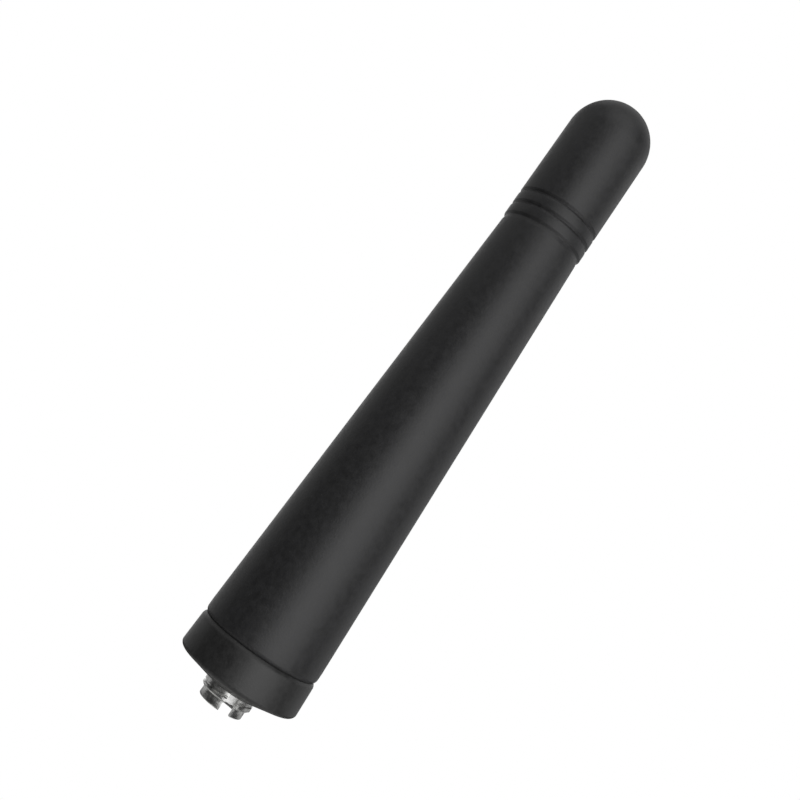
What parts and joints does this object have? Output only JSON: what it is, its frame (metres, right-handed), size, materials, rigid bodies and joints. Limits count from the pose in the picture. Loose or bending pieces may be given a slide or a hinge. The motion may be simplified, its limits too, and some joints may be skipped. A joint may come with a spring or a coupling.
{
  "type": "short handheld radio antenna",
  "caption": "Short tapered handheld radio antenna with a domed tip, a base collar and a threaded coaxial connector with a slotted nose.",
  "frame": {"origin": "on the axis, in the plane of the collar's seat, where the connector's thread leaves the plastic", "axes": "+Z along the axis from the connector to the domed tip; -Y is the side that faces the viewer in the picture, and the first slot lies 18 degrees from it towards +X"},
  "size_m": [0.0154, 0.0154, 0.0852],
  "materials": {
    "black_elastomer": "fine matte moulded",
    "black_plastic": "fine matte moulded",
    "nickel_plated_brass": "turned, nickel plated",
    "white_insulator": "turned, satin",
    "gold_plated_contact": "gold plated",
    "bare_brass": "turned",
    "copper_plated_wire": "drawn, copper plated",
    "natural_nylon": "moulded",
    "shrink_tube": "satin"
  },
  "bodies": {
    "root": {"sheath": "black_elastomer", "base_collar": "black_plastic", "connector_shell": "nickel_plated_brass", "connector_insulator": "white_insulator", "centre_contact": "gold_plated_contact", "feed_ferrule": "bare_brass", "helix_radiator": "copper_plated_wire", "coil_former": "natural_nylon", "coil_sleeve": "shrink_tube"}
  },
  "joints": []
}
